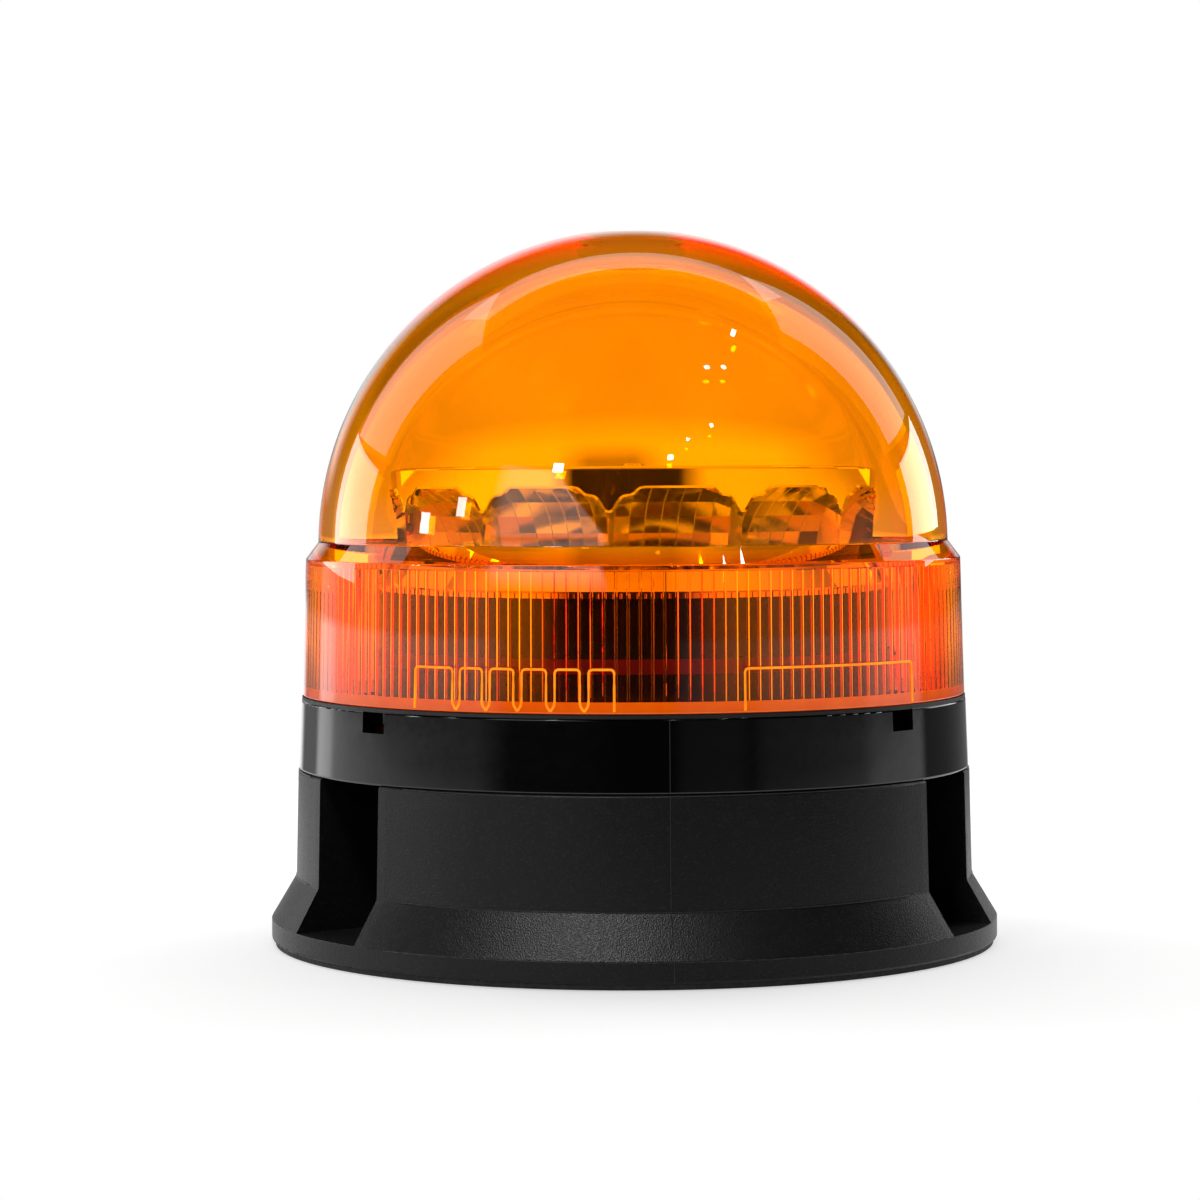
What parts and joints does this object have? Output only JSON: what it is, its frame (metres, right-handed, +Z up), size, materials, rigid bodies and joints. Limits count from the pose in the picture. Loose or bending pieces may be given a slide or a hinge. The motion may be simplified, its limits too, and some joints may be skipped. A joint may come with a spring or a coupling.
{
  "type": "magnetic warning light",
  "caption": "Amber beacon with a clear ribbed dome twisted onto a gloss collar, over a flared base with a pot magnet, screw pockets and a cable inlet.",
  "frame": {"origin": "centre of the foot's contact face, on the lens axis", "axes": "+Z up along the lens axis, -Y towards the front mould line, midway between two screw pockets"},
  "size_m": [0.14, 0.14, 0.136],
  "materials": {
    "amber": "polished clear amber polycarbonate",
    "gloss_black": "polished moulding",
    "matte_black": "fine spark-eroded texture",
    "inner_black": "satin moulding",
    "seal_rubber": "smooth soft rubber",
    "pad_rubber": "matte sheet rubber",
    "red_silicone": "satin silicone",
    "bright_metallised": "vacuum-metallised plastic, mirror bright",
    "zinc_steel": "bright zinc plate",
    "plain_aluminium": "turned",
    "can_aluminium": "dark printed sleeve",
    "ferrite": "ground, unglazed",
    "board_green": "solder mask",
    "board_white": "white solder mask",
    "terminal_green": "satin moulding",
    "wire_red": "smooth insulation",
    "led_yellow": "phosphor-coated package",
    "led_clear": "clear dome"
  },
  "bodies": {
    "housing": {"lens_seal": "seal_rubber", "upper_collar": "gloss_black", "base_housing": "matte_black", "rubber_pad": "pad_rubber", "cable_grommet": "seal_rubber", "bottom_plate": "inner_black", "plate_screws": "zinc_steel", "magnet_pot": "zinc_steel", "ferrite_ring": "ferrite", "magnet_screws": "zinc_steel", "driver_board": "board_green", "board_screws": "zinc_steel", "capacitors": "can_aluminium", "choke": "ferrite", "driver_chips": "inner_black", "terminal_block": "terminal_green", "led_wires": "wire_red", "deck_screws": "zinc_steel", "lower_pedestal": "inner_black", "pedestal_screws": "zinc_steel", "module_gasket": "red_silicone", "module_cup": "inner_black", "module_screws": "zinc_steel", "heat_spreader": "plain_aluminium", "led_board": "board_white", "spreader_screws": "zinc_steel", "led_packages": "led_yellow", "led_lenses": "led_clear", "reflector": "bright_metallised", "reflector_screw": "zinc_steel"},
    "lens": {"amber_lens": "amber"}
  },
  "joints": [
    {"name": "lens_twist", "type": "hinge", "parent": "housing", "child": "lens", "pos_m": [0, 0, 0.045], "axis": [0, 0, 1], "range_deg": [0, 23]}
  ]
}
